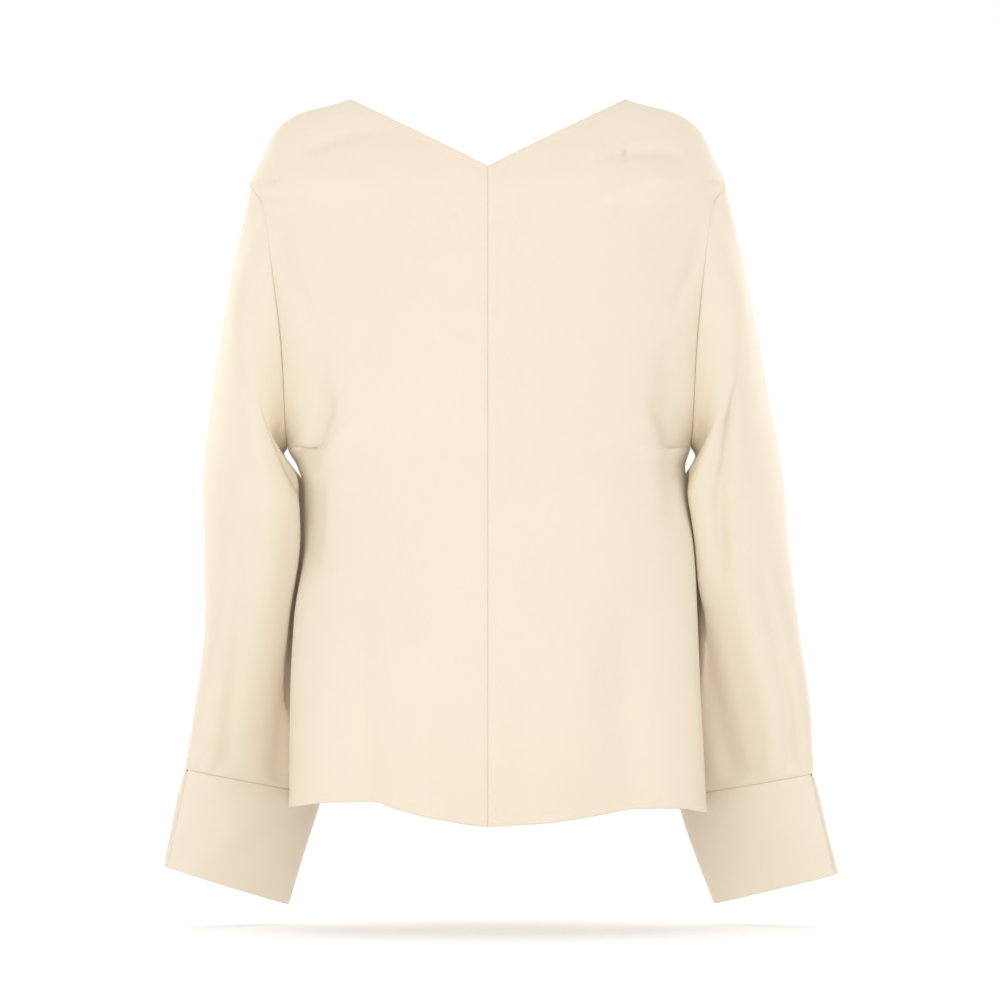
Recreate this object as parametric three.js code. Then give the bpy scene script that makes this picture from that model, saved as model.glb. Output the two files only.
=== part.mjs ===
// A long-sleeved V-neck blouse of thin cream silk, filled out as it hangs from a wearer's shoulders, with no
// wearer in it. Millimetres, +Z up. The front faces -Y, and the wearer's right side is at -X.
// The origin is midway between the two neck points, on the line of the shoulders.
//
// Each panel is a wall of cloth on a grid of points. Neighbouring panels share the points and the normals of
// their seam, so their walls meet edge to edge, and each is then drawn back by half of the seam's gap.

import * as THREE from "three";

// ---- Driving dimensions ----

const CLOTH = 2; // thickness of the wall
const SEAM_GAP = 0.3; // between two panels at their seam
const NECK_HALF_WIDTH = 124;
const FRONT_NECK_DEPTH = 63.5; // the point of the V, below the neck points
const BACK_NECK_DEPTH = 60; // the lowest point of the back neck's curve
const BACK_NECK_ROUND = 2; // 1 cuts the back neck as a V, and more rounds it
const TIP_Z = -76; // where the armhole seam crosses the top of the shoulder
const UNDERARM_Z = -312;
const ARMHOLE_FRONT = 52; // how far the armhole opens to the front of its middle
const ARMHOLE_BACK = 56;
const ARMHOLE_ROUND = 0.8;
const ARMHOLE_ROLL = 0.93; // the share of its section's half width that a panel reaches at the armhole
const SECTION_ROUND = 2.2; // 2 is an ellipse, and more is squarer
const SLEEVE_CLEAR = 5.5; // from the middle of the torso's wall to the middle of a sleeve's
const LAP_COLUMNS = 2; // of the cuff's under layer, beneath its upper one
const LAP_STEP = 2.7; // between the middles of those two layers
const LAP_SHOWS = 3; // how far the upper layer stops short of the cuff's outer fold
const LAP_LOW = 0.03; // how far down the cuff the under layer starts, as a share of its length

const COLUMNS = { neck: 5, shoulder: 7 }; // of half a panel
const ROWS = { skirt: 12, yoke: 10, sleeve: 16, cuff: 4 };

// ---- Sections and folds ----

// The torso by height. right and left are how far out the panels' edge lies on the wearer's right and left: the
// side seam up to the underarm, the armhole up to the shoulder's tip, and the shoulder's outline above that.
// front and back are how far each panel's middle stands off, and seam is how far back the edge lies.
const TORSO = [
  { z: -660, right: 178, left: 197, front: 112, back: 92, seam: -8 },
  { z: -594, right: 178, left: 194, front: 112, back: 92, seam: -8 },
  { z: -540, right: 177.5, left: 191, front: 113, back: 92, seam: -8 },
  { z: -468, right: 174, left: 188, front: 115, back: 93, seam: -8 },
  { z: -396, right: 165, left: 185, front: 119, back: 95, seam: -7 },
  { z: -348, right: 166, left: 180, front: 122, back: 96, seam: -6 },
  { z: -330, right: 171, left: 177, front: 123, back: 96.5, seam: -5.5 },
  { z: UNDERARM_Z, right: 180, left: 182, front: 124.5, back: 97, seam: -5 },
  { z: -225, right: 184, left: 186, front: 127, back: 99, seam: -2 },
  { z: -144, right: 194, left: 194, front: 108, back: 98, seam: 0 },
  { z: -110, right: 199, left: 199, front: 96, back: 92, seam: 0 },
  { z: -92, right: 203, left: 203, front: 89, back: 87, seam: 0 },
  { z: TIP_Z, right: 213, left: 213, front: 82, back: 81, seam: 0 },
  { z: -51, right: 202, left: 202, front: 67, back: 68, seam: 0 },
  { z: -31, right: 193, left: 193, front: 50, back: 51, seam: 0 },
  { z: -14, right: 173, left: 173, front: 33, back: 33, seam: 0 },
  { z: 0, right: NECK_HALF_WIDTH, left: NECK_HALF_WIDTH, front: 14, back: 14, seam: 0 },
];

// The hem's height along the front and along the back, from the wearer's right to the left.
const HEM = [
  { x: -180, front: -636, back: -636 },
  { x: -142, front: -629, back: -633 },
  { x: -106, front: -627.5, back: -630 },
  { x: -79, front: -634, back: -634 },
  { x: -43, front: -642.5, back: -638 },
  { x: 0, front: -648.5, back: -640 },
  { x: 47, front: -646, back: -637 },
  { x: 92, front: -640, back: -632 },
  { x: 137, front: -634, back: -631 },
  { x: 173, front: -635, back: -635 },
  { x: 196, front: -640, back: -640 },
];

// A sleeve's rings, from just past the armhole down to the cuff's seam. Each spans from its inner side, at the
// underarm seam, to its outer side: x is the distance out, y back and z up. front and back are its half depths.
const SLEEVES = {
  right: [
    { inX: 189, inY: 0, inZ: -321, outX: 233, outY: 2, outZ: -172, front: 66, back: 66 },
    { inX: 168, inY: 36, inZ: -342, outX: 245, outY: 2, outZ: -262, front: 71, back: 62 },
    { inX: 157, inY: 45, inZ: -368, outX: 251, outY: 2, outZ: -338, front: 68, back: 58 },
    { inX: 150, inY: 51, inZ: -422, outX: 251, outY: 2, outZ: -408, front: 55, back: 52 },
    { inX: 148, inY: 57, inZ: -494, outX: 252, outY: 0, outZ: -478, front: 38, back: 38 },
    { inX: 150, inY: 62, inZ: -564, outX: 262, outY: 2, outZ: -546, front: 26, back: 28 },
    { inX: 152, inY: 64, inZ: -628, outX: 272, outY: 6, outZ: -603, front: 17, back: 18 },
  ],
  left: [
    { inX: 191, inY: 0, inZ: -321, outX: 235, outY: 2, outZ: -172, front: 66, back: 66 },
    { inX: 176, inY: 36, inZ: -342, outX: 249, outY: 2, outZ: -262, front: 71, back: 62 },
    { inX: 171, inY: 45, inZ: -368, outX: 259, outY: 2, outZ: -338, front: 68, back: 58 },
    { inX: 168, inY: 51, inZ: -422, outX: 267, outY: 2, outZ: -408, front: 55, back: 52 },
    { inX: 168, inY: 57, inZ: -494, outX: 277, outY: 0, outZ: -478, front: 38, back: 38 },
    { inX: 170, inY: 62, inZ: -564, outX: 288, outY: 2, outZ: -546, front: 26, back: 28 },
    { inX: 172, inY: 64, inZ: -630, outX: 292, outY: 6, outZ: -607, front: 17, back: 18 },
  ],
};

// The ring at the open end of each cuff.
const CUFF_ENDS = {
  right: { inX: 182, inY: 56, inZ: -727, outX: 291, outY: 4, outZ: -690, front: 13, back: 13 },
  left: { inX: 206, inY: 56, inZ: -726, outX: 314, outY: 4, outZ: -697, front: 13, back: 13 },
};

// Folds on the panels, each a straight trough (depth below 0) or ridge between two points of the front view.
const FRONT_FOLDS = [
  { x1: -150, z1: -210, x2: -158, z2: -395, width: 13, depth: -7 }, // drag line under the right arm
  { x1: 158, z1: -200, x2: 166, z2: -360, width: 12, depth: -6 },
  { x1: -112, z1: -400, x2: -104, z2: -650, width: 17, depth: -6 },
  { x1: -62, z1: -470, x2: -56, z2: -650, width: 20, depth: 4 },
  { x1: 122, z1: -430, x2: 134, z2: -650, width: 18, depth: -5 },
  { x1: 70, z1: -440, x2: 78, z2: -650, width: 24, depth: 4 },
  { x1: 176, z1: -58, x2: 104, z2: -84, width: 8, depth: -4 }, // from the left shoulder in to the neck
  { x1: -168, z1: -60, x2: -108, z2: -46, width: 8, depth: -3 },
];
const BACK_FOLDS = [
  { x1: -128, z1: -180, x2: -132, z2: -650, width: 18, depth: -8 },
  { x1: -58, z1: -300, x2: -50, z2: -650, width: 22, depth: -6 },
  { x1: 46, z1: -260, x2: 60, z2: -650, width: 20, depth: -7 },
  { x1: 130, z1: -190, x2: 142, z2: -650, width: 17, depth: -7 },
];

// ---- Curves and grids ----

/** The value of one column of a table at a place, on a smooth curve that never overshoots its rows. */
function read(table, place, at, column) {
  const last = table.length - 2;
  const beyond = table.findIndex((row) => row[place] > at) - 1;
  const i = beyond === -2 ? last : THREE.MathUtils.clamp(beyond, 0, last);
  const slope = (k) =>
    (table[k + 1][column] - table[k][column]) / (table[k + 1][place] - table[k][place]);
  const tangent = (k) => {
    if (k === 0 || k === table.length - 1) return slope(Math.min(k, last));
    const before = slope(k - 1);
    const after = slope(k);
    return before * after <= 0 ? 0 : (2 * before * after) / (before + after);
  };
  const step = table[i + 1][place] - table[i][place];
  const t = THREE.MathUtils.clamp((at - table[i][place]) / step, 0, 1);
  return (
    table[i][column] * (1 + 2 * t) * (1 - t) ** 2 +
    tangent(i) * step * t * (1 - t) ** 2 +
    table[i + 1][column] * t * t * (3 - 2 * t) +
    tangent(i + 1) * step * t * t * (t - 1)
  );
}

/** The place between low and high where a rising or falling function reaches a value. */
function solve(f, value, low, high) {
  const rising = f(high) > f(low);
  for (let i = 0; i < 40; i++) {
    const middle = (low + high) / 2;
    if (f(middle) < value === rising) low = middle;
    else high = middle;
  }
  return (low + high) / 2;
}

/** count + 1 points of the curve f(0) to f(1), evenly spaced along it. */
function evenly(f, count) {
  const fine = Array.from({ length: 121 }, (_, i) => f(i / 120));
  const along = [0];
  fine.slice(1).forEach((p, i) => along.push(along[i] + p.distanceTo(fine[i])));
  return Array.from({ length: count + 1 }, (_, i) => {
    const want = (along.at(-1) * i) / count;
    const k = THREE.MathUtils.clamp(along.findIndex((d) => d >= want), 1, 120);
    const t = (want - along[k - 1]) / (along[k] - along[k - 1]);
    return fine[k - 1].clone().lerp(fine[k], t);
  });
}

const signedPower = (value, power) => Math.sign(value) * Math.abs(value) ** power;
const side = (x) => (x < 0 ? "right" : "left");

// ---- The torso's surface ----

/** How far out the edge of the panels lies at a height. */
const edgeX = (z, which) => read(TORSO, "z", z, which);

/** How open the armhole is at a height, from 0 at its ends to 1 half way up, and the softer away from it. */
function armholeOpen(z, out) {
  const up = (2 * (z - UNDERARM_Z)) / (TIP_Z - UNDERARM_Z) - 1;
  const inside = Math.max(0, 1 - up * up);
  return THREE.MathUtils.lerp(inside ** 2, inside ** (ARMHOLE_ROUND / 2), out ** 8);
}

/** How far back the panel's edge would lie, for a point some way out (1 is at the edge itself). */
const edgeY = (z, isFront, out) =>
  read(TORSO, "z", z, "seam") + armholeOpen(z, out) * (isFront ? -ARMHOLE_FRONT : ARMHOLE_BACK);

/** A point of the front or back panel, across being its share of the way from the middle (0) to an edge. */
function torsoPoint(across, z, which, isFront) {
  const edge = edgeX(z, which);
  const x = Math.sin((across * Math.PI) / 2) * (z > TIP_Z ? edgeX(TIP_Z, which) : edge);
  const middle = read(TORSO, "z", z, isFront ? "front" : "back") * (isFront ? -1 : 1);
  const round = (u) => Math.max(0, 1 - u ** SECTION_ROUND) ** (1 / SECTION_ROUND);
  const out = x / edge;
  const roll = THREE.MathUtils.lerp(1, ARMHOLE_ROLL, armholeOpen(z, out));
  const share = (round(roll * out) - round(roll)) / (1 - round(roll));
  const y = edgeY(z, isFront, out) + (middle - edgeY(z, isFront, out)) * share;
  return new THREE.Vector3(which === "right" ? -x : x, y, z);
}

/** The height where a column of a panel ends: at the neckline, or past it at the shoulder seam. */
function topZ(across, isFront) {
  const x = Math.sin((across * Math.PI) / 2) * edgeX(TIP_Z, "right");
  if (x > NECK_HALF_WIDTH) return solve((z) => edgeX(z, "right"), x, TIP_Z, 0);
  const share = x / NECK_HALF_WIDTH;
  return isFront ? FRONT_NECK_DEPTH * (share - 1) : BACK_NECK_DEPTH * (share ** BACK_NECK_ROUND - 1);
}

/** One half of a panel as rows of points from the hem up, each from the middle out to the edge. */
function halfPanel(which, isFront) {
  const neckAcross = (2 / Math.PI) * Math.asin(NECK_HALF_WIDTH / edgeX(TIP_Z, which));
  const places = [
    ...Array.from({ length: COLUMNS.neck }, (_, i) => (neckAcross * i) / COLUMNS.neck),
    ...Array.from({ length: COLUMNS.shoulder + 1 }, (_, i) =>
      THREE.MathUtils.lerp(neckAcross, 1, i / COLUMNS.shoulder),
    ),
  ];
  const columns = places.map((across) => {
    const x = torsoPoint(across, TORSO[0].z, which, isFront).x;
    const hem = read(HEM, "x", x, isFront ? "front" : "back");
    const stretch = (from, to, count) =>
      evenly((t) => torsoPoint(across, THREE.MathUtils.lerp(from, to, t), which, isFront), count);
    const yoke = stretch(UNDERARM_Z, topZ(across, isFront), ROWS.yoke);
    return [...stretch(hem, UNDERARM_Z, ROWS.skirt), ...yoke.slice(1)];
  });
  return columns[0].map((_, row) => columns.map((column) => column[row]));
}

/** Moves a point straight out from the torso's middle, where it is less than a distance clear of the torso. */
function keepClear(p, clear) {
  const which = side(p.x);
  const seam = read(TORSO, "z", p.z, "seam");
  const depth = Math.abs(read(TORSO, "z", p.z, p.y < seam ? "front" : "back") * (p.y < seam ? -1 : 1) - seam);
  const across = Math.abs(p.x) / (edgeX(p.z, which) + clear);
  const back = Math.abs(p.y - seam) / (depth + clear);
  const reach = (across ** SECTION_ROUND + back ** SECTION_ROUND) ** (1 / SECTION_ROUND);
  if (reach >= 1) return p;
  return new THREE.Vector3(p.x / reach, seam + (p.y - seam) / reach, p.z);
}

// ---- Rings of the sleeves and cuffs ----

/** A point of a ring, at a turn from 0 at its inner side, forwards round to 1 there again. */
function ringPoint(ring, turn, which) {
  const sign = which === "right" ? -1 : 1;
  const inner = new THREE.Vector3(sign * ring.inX, ring.inY, ring.inZ);
  const outer = new THREE.Vector3(sign * ring.outX, ring.outY, ring.outZ);
  const chord = outer.clone().sub(inner).normalize();
  const forwards = new THREE.Vector3(0, -1, 0).addScaledVector(chord, chord.y).normalize();
  const angle = turn * 2 * Math.PI;
  const along = (1 - signedPower(Math.cos(angle), 2 / SECTION_ROUND)) / 2;
  const depth = signedPower(Math.sin(angle), 2 / SECTION_ROUND) * (turn < 0.5 ? ring.front : ring.back);
  return inner.lerp(outer, along).addScaledVector(forwards, depth);
}

/** The sleeve's rows of points, from the armhole's own points down to the cuff's seam. */
function sleeveGrid(which, armhole) {
  const rings = SLEEVES[which].map((ring) =>
    armhole.map((_, i) => ringPoint(ring, i / armhole.length, which)),
  );
  const lines = armhole.map((start, i) => {
    const points = [start, ...rings.map((ring) => ring[i])];
    const line = new THREE.CatmullRomCurve3(points, false, "centripetal");
    const rows = Array.from({ length: ROWS.sleeve + 1 }, (_, row) => line.getPoint(row / ROWS.sleeve));
    // Near its seam the sleeve leaves the armhole freely, but for what hangs below the underarm.
    return rows.map((p, row) =>
      row === 0 || (row < 3 && p.z > UNDERARM_Z - 12) ? p : keepClear(p, SLEEVE_CLEAR),
    );
  });
  return lines[0].map((_, row) => lines.map((line) => line[row]));
}

/** The cuff's rows of points, a band that laps under itself at the outer fold of the wrist. */
function cuffGrid(which, seamRing) {
  const count = seamRing.length;
  const fold = count / 2;
  const inset = (ring) => ({ ...ring, outX: ring.outX - LAP_STEP, front: ring.front - LAP_STEP });
  const row = (share) => {
    const low = Math.max(share, LAP_LOW);
    // From just short of the outer fold, round by the front, the inner side and the back to the fold again.
    const upper = Array.from({ length: count }, (_, i) => {
      const k = (fold - i + count) % count;
      return seamRing[k].clone().lerp(ringPoint(CUFF_ENDS[which], k / count, which), share);
    });
    const edge = upper[1].clone().sub(upper[0]).setLength(LAP_SHOWS);
    upper[0].add(edge);
    const seam = inset(SLEEVES[which].at(-1));
    const under = Array.from({ length: LAP_COLUMNS + 1 }, (_, i) => {
      const turn = (fold - i) / count;
      return ringPoint(seam, turn, which).lerp(ringPoint(inset(CUFF_ENDS[which]), turn, which), low);
    });
    return [...upper, ...under];
  };
  return Array.from({ length: ROWS.cuff + 1 }, (_, i) => row(i / ROWS.cuff));
}

// ---- Folds ----

/** How far the folds move a point of a panel out from the panel. */
function foldAt(folds, point) {
  return folds.reduce((sum, fold) => {
    const run = new THREE.Vector2(fold.x2 - fold.x1, fold.z2 - fold.z1);
    const from = new THREE.Vector2(point.x - fold.x1, point.z - fold.z1);
    const along = from.dot(run) / run.lengthSq();
    const off = Math.abs(from.cross(run)) / run.length();
    const ends = THREE.MathUtils.smoothstep(along, 0, 0.45);
    const past = 1 - THREE.MathUtils.smoothstep(along, 1, 1.25);
    return sum + fold.depth * ends * past * Math.exp(-((off / fold.width) ** 2));
  }, 0);
}

/** Half a panel with its folds, which fade out at its middle and its side. */
function folded(grid, folds) {
  const normals = gridNormals(grid, false).map((row) => row.map((n) => n.normalize()));
  return grid.map((row, i) =>
    row.map((p, j) => {
      const across = j / (row.length - 1);
      const fade = THREE.MathUtils.smoothstep(across, 0, 0.15) - THREE.MathUtils.smoothstep(across, 0.8, 1);
      return p.clone().addScaledVector(normals[i][j], fade * foldAt(folds, p));
    }),
  );
}

// ---- Walls of cloth ----

/** Outward normals of a grid, each the sum of its triangles' normals, weighted by their angles there. */
function gridNormals(grid, closed) {
  const sums = grid.map((row) => row.map(() => new THREE.Vector3()));
  const width = grid[0].length;
  const corner = (a, b, c) => {
    const [p, q, r] = [a, b, c].map(([i, j]) => grid[i][j]);
    const towards = q.clone().sub(p);
    const across = r.clone().sub(p);
    const normal = towards.clone().cross(across).normalize();
    sums[a[0]][a[1]].addScaledVector(normal, towards.angleTo(across));
  };
  for (let i = 0; i + 1 < grid.length; i++)
    for (let j = 0; j < (closed ? width : width - 1); j++) {
      const k = (j + 1) % width;
      for (const [a, b, c] of [[[i, j], [i, k], [i + 1, k]], [[i, j], [i + 1, k], [i + 1, j]]]) {
        corner(a, b, c);
        corner(b, c, a);
        corner(c, a, b);
      }
    }
  return sums;
}

const keyOf = (p) => [p.x, p.y, p.z].map((v) => Math.round(v * 50)).join();

/** The normals of all pieces, added up where they share a point so that their walls meet along a seam. */
function sharedNormals(pieces) {
  const sums = new Map();
  const all = pieces.map((piece) => gridNormals(piece.grid, piece.closed));
  const each = (visit) =>
    pieces.forEach(({ grid }, k) =>
      grid.forEach((row, i) => row.forEach((p, j) => visit(keyOf(p), all[k][i][j]))),
    );
  each((key, n) => sums.set(key, (sums.get(key) ?? new THREE.Vector3()).clone().add(n)));
  each((key, n) => n.copy(sums.get(key)).normalize());
  return all;
}

/** One closed wall from a grid and its normals, drawn back from its edges by half of the seam's gap. */
function wall({ grid, closed }, normals) {
  const height = grid.length;
  const width = grid[0].length;
  const at = (i, j) => grid[i]?.[closed ? (j + width) % width : j];
  /** The way in from the edge between two points of it, along the cloth. */
  const inwards = (p, normal, next, inner) => {
    const step = next.clone().sub(p).cross(normal).normalize();
    return step.multiplyScalar(Math.sign(step.dot(inner.clone().sub(p))));
  };
  const drawn = (i, j, out) => {
    const p = grid[i][j];
    const normal = normals[i][j];
    const steps = [];
    const edge = (inner, ...nexts) =>
      nexts.filter(Boolean).forEach((next) => steps.push(inwards(p, normal, next, inner)));
    if (i === 0 || i === height - 1) edge(grid[i === 0 ? 3 : height - 4][j], at(i, j - 1), at(i, j + 1));
    if (!closed && (j === 0 || j === width - 1))
      edge(grid[i][j === 0 ? 2 : width - 3], at(i - 1, j), at(i + 1, j));
    const moved = p.clone().addScaledVector(normal, out);
    if (steps.length === 0) return moved;
    const mitre = SEAM_GAP / 2 / Math.max(0.5, 1 + steps[0].dot(steps[1]));
    return moved.addScaledVector(steps[0], mitre).addScaledVector(steps[1], mitre);
  };
  const points = [CLOTH / 2, -CLOTH / 2].flatMap((out) =>
    grid.flatMap((row, i) => row.map((_, j) => drawn(i, j, out))),
  );
  const outside = (i, j) => i * width + (j % width);
  const inside = (i, j) => height * width + outside(i, j);
  const index = [];
  const quad = (a, b, c, d) => {
    // Split along the shorter diagonal, so that two walls which face each other across a seam split alike.
    const first = points[a].distanceTo(points[c]) <= points[b].distanceTo(points[d]) + 1e-3;
    index.push(...(first ? [a, b, c, a, c, d] : [a, b, d, b, c, d]));
  };
  const cells = closed ? width : width - 1;
  for (let i = 0; i + 1 < height; i++)
    for (let j = 0; j < cells; j++) {
      quad(outside(i, j), outside(i, j + 1), outside(i + 1, j + 1), outside(i + 1, j));
      quad(inside(i, j), inside(i + 1, j), inside(i + 1, j + 1), inside(i, j + 1));
    }
  for (let j = 0; j < cells; j++) {
    quad(outside(0, j), inside(0, j), inside(0, j + 1), outside(0, j + 1));
    const top = height - 1;
    quad(outside(top, j), outside(top, j + 1), inside(top, j + 1), inside(top, j));
  }
  if (!closed)
    for (let i = 0; i + 1 < height; i++) {
      quad(outside(i, 0), outside(i + 1, 0), inside(i + 1, 0), inside(i, 0));
      const last = width - 1;
      quad(outside(i, last), inside(i, last), inside(i + 1, last), outside(i + 1, last));
    }
  const geometry = new THREE.BufferGeometry();
  geometry.setFromPoints(points);
  return geometry.setIndex(index);
}

// ---- The blouse ----

const mirrored = (grid) => grid.map((row) => [...row].reverse());

const frontRight = mirrored(folded(halfPanel("right", true), FRONT_FOLDS));
const frontLeft = folded(halfPanel("left", true), FRONT_FOLDS);
const backRight = folded(halfPanel("right", false), BACK_FOLDS);
const backLeft = mirrored(folded(halfPanel("left", false), BACK_FOLDS));
const back = backLeft.map((row, i) => [...row, ...backRight[i].slice(1)]);

/** The armhole's points, from the underarm up the front edge and down the back edge. */
function armholeOf(frontEdge, backEdge) {
  const rise = frontEdge.slice(ROWS.skirt);
  const fall = backEdge.slice(ROWS.skirt).reverse();
  return [...rise, ...fall.slice(1, -1)];
}

const column = (grid, j) => grid.map((row) => row.at(j));
const turned = (grid, which) => (which === "left" ? mirrored(grid) : grid);

function arm(which, armhole) {
  const sleeve = sleeveGrid(which, armhole);
  const cuff = cuffGrid(which, sleeve.at(-1));
  return [
    { name: `sleeve_${which}`, grid: turned(sleeve, which), closed: true },
    { name: `cuff_${which}`, grid: turned(mirrored(cuff), which), closed: false },
  ];
}

const pieces = [
  { name: "front_right", grid: frontRight, closed: false },
  { name: "front_left", grid: frontLeft, closed: false },
  { name: "back", grid: back, closed: false },
  ...arm("right", armholeOf(column(frontRight, 0), column(back, -1))),
  ...arm("left", armholeOf(column(frontLeft, -1), column(back, 0))),
];

const silk = new THREE.MeshStandardMaterial({ color: 0xf8ead0, roughness: 0.55, metalness: 0 });
silk.side = THREE.DoubleSide;

const blouse = new THREE.Group();
const normals = sharedNormals(pieces);
pieces.forEach((piece, i) => {
  const mesh = new THREE.Mesh(wall(piece, normals[i]), silk.clone());
  mesh.name = piece.name;
  blouse.add(mesh);
});

export default blouse;
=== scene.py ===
"""A long-sleeved V-neck blouse of thin cream silk, filled out as it hangs from a wearer's shoulders.

Metres, +Z up. The front faces -Y and the wearer's left side is at +X. Tables of sections are in millimetres.
"""

import logging
import math
from dataclasses import dataclass, field
from enum import Enum

import bpy
import numpy as np
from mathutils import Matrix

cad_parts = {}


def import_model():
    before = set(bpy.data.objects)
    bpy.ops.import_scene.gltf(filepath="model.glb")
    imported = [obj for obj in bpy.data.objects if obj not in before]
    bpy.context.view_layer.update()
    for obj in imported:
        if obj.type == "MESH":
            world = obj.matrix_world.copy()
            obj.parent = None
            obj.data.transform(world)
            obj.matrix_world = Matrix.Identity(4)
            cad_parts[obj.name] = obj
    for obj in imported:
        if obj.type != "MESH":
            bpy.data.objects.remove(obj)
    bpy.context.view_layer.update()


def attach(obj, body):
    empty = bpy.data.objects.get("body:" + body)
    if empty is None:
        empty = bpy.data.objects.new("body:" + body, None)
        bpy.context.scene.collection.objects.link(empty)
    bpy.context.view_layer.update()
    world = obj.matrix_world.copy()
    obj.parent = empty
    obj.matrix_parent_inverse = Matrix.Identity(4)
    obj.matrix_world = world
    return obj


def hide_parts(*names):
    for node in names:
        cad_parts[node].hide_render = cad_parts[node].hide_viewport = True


LOG = logging.getLogger("blouse")
MM = 0.001
Table = dict[str, np.ndarray]


class Side(Enum):
    """A side of the wearer, and the sign of X there."""

    RIGHT = -1
    LEFT = 1

    @property
    def word(self) -> str:
        """The side's name in the tables and in the names of pieces."""
        return self.name.lower()


class Face(Enum):
    """The front or the back of the body, and the sign of Y there."""

    FRONT = -1
    BACK = 1

    @property
    def word(self) -> str:
        """The face's name in the tables and in the names of pieces."""
        return self.name.lower()


# ---- Tables and curves ----


def columns(names: str, rows: list[tuple[float, ...]]) -> Table:
    """A table by column.

    Args:
        names: The columns' names, apart by spaces.
        rows: One tuple for each row of the table.

    Returns:
        Each column's values under its name.
    """
    return {name: np.array(values, dtype=float) for name, values in zip(names.split(), zip(*rows))}


def read(table: Table, place: str, at: np.ndarray, column: str) -> np.ndarray:
    """One column of a table on a smooth curve that never overshoots its rows.

    Args:
        table: The table, with its rows in rising order of place.
        place: The column that says where each row lies.
        at: The places asked for.
        column: The column to read.

    Returns:
        The column's value at each place.
    """
    xs, ys = table[place], table[column]
    at = np.clip(np.asarray(at, dtype=float), xs[0], xs[-1])
    slopes = np.diff(ys) / np.diff(xs)
    tangents = np.zeros(len(xs))
    tangents[0], tangents[-1] = slopes[0], slopes[-1]
    before, after = slopes[:-1], slopes[1:]
    same = before * after > 0
    tangents[1:-1][same] = 2 * before[same] * after[same] / (before[same] + after[same])
    k = np.clip(np.searchsorted(xs, at, side="right") - 1, 0, len(xs) - 2)
    step = xs[k + 1] - xs[k]
    t = (at - xs[k]) / step
    return (
        ys[k] * (1 + 2 * t) * (1 - t) ** 2
        + tangents[k] * step * t * (1 - t) ** 2
        + ys[k + 1] * t * t * (3 - 2 * t)
        + tangents[k + 1] * step * t * t * (t - 1)
    )


def smoothstep(x: np.ndarray, low: float, high: float) -> np.ndarray:
    """0 up to low and 1 from high on, with a soft rise between."""
    t = np.clip((x - low) / (high - low), 0, 1)
    return t * t * (3 - 2 * t)


def signed_power(value: np.ndarray, power: float) -> np.ndarray:
    """A power of the value's size, with the value's sign."""
    return np.sign(value) * np.abs(value) ** power


def spaced(fine: np.ndarray, shares: np.ndarray) -> np.ndarray:
    """Points at shares of a curve's length.

    Args:
        fine: The curve as many points.
        shares: Shares of its length, from 0 to 1.

    Returns:
        A point for each share.
    """
    along = np.concatenate([[0], np.cumsum(np.linalg.norm(np.diff(fine, axis=0), axis=1))])
    want = shares * along[-1]
    return np.stack([np.interp(want, along, fine[:, i]) for i in range(3)], axis=1)


def catmull_rom(points: np.ndarray, where: np.ndarray) -> np.ndarray:
    """Smooth lines through rings of points, on centripetal Catmull-Rom curves.

    Args:
        points: Rings by lines by three, the points that each line passes through.
        where: Places along the lines, from 0 to 1, each ring an equal step.

    Returns:
        Places by lines by three.
    """
    last = len(points) - 1
    padded = np.concatenate([[2 * points[0] - points[1]], points, [2 * points[-1] - points[-2]]])
    rows = []
    for place in where * last:
        k = min(int(place), last - 1)
        w = place - k
        p0, p1, p2, p3 = padded[k : k + 4]
        d0, d1, d2 = (
            np.maximum(np.linalg.norm(b - a, axis=1, keepdims=True), 1e-4) ** 0.5
            for a, b in ((p0, p1), (p1, p2), (p2, p3))
        )
        t1 = ((p1 - p0) / d0 - (p2 - p0) / (d0 + d1) + (p2 - p1) / d1) * d1
        t2 = ((p2 - p1) / d1 - (p3 - p1) / (d1 + d2) + (p3 - p2) / d2) * d1
        rows.append(
            p1
            + t1 * w
            + (-3 * p1 + 3 * p2 - 2 * t1 - t2) * w**2
            + (2 * p1 - 2 * p2 + t1 + t2) * w**3
        )
    return np.array(rows)


# ---- The cloth as a grid ----


@dataclass(frozen=True)
class Fold:
    """A soft trough (depth below 0) or ridge on the cloth, a straight line that bends a little.

    The two ends are (x, z) on a body panel, or (turn, share down) on a sleeve. start is how much of its
    length it takes to reach its full depth, tail how much more it takes to die out past its end, and bend
    is how far its middle bows to one side.
    """

    a: tuple[float, float]
    b: tuple[float, float]
    width: float
    depth: float
    start: float = 0.4
    bend: float = 0.0
    tail: float = 0.25

    def height(self, p: np.ndarray, q: np.ndarray, scale: tuple[float, float]) -> np.ndarray:
        """How far the fold moves the cloth out.

        Args:
            p: First coordinate of each point of the cloth.
            q: Second coordinate.
            scale: Millimetres to one unit of each coordinate.

        Returns:
            Millimetres along the outward normal.
        """
        run = np.array([(self.b[0] - self.a[0]) * scale[0], (self.b[1] - self.a[1]) * scale[1]])
        fx, fy = (p - self.a[0]) * scale[0], (q - self.a[1]) * scale[1]
        length = math.hypot(*run)
        along = (fx * run[0] + fy * run[1]) / length**2
        bow = self.bend * 4 * along * (1 - along)
        off = (fx * run[1] - fy * run[0]) / length - bow
        ends = smoothstep(along, 0.0, self.start) * (1 - smoothstep(along, 1.0, 1.0 + self.tail))
        return self.depth * ends * np.exp(-((off / self.width) ** 2))


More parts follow.
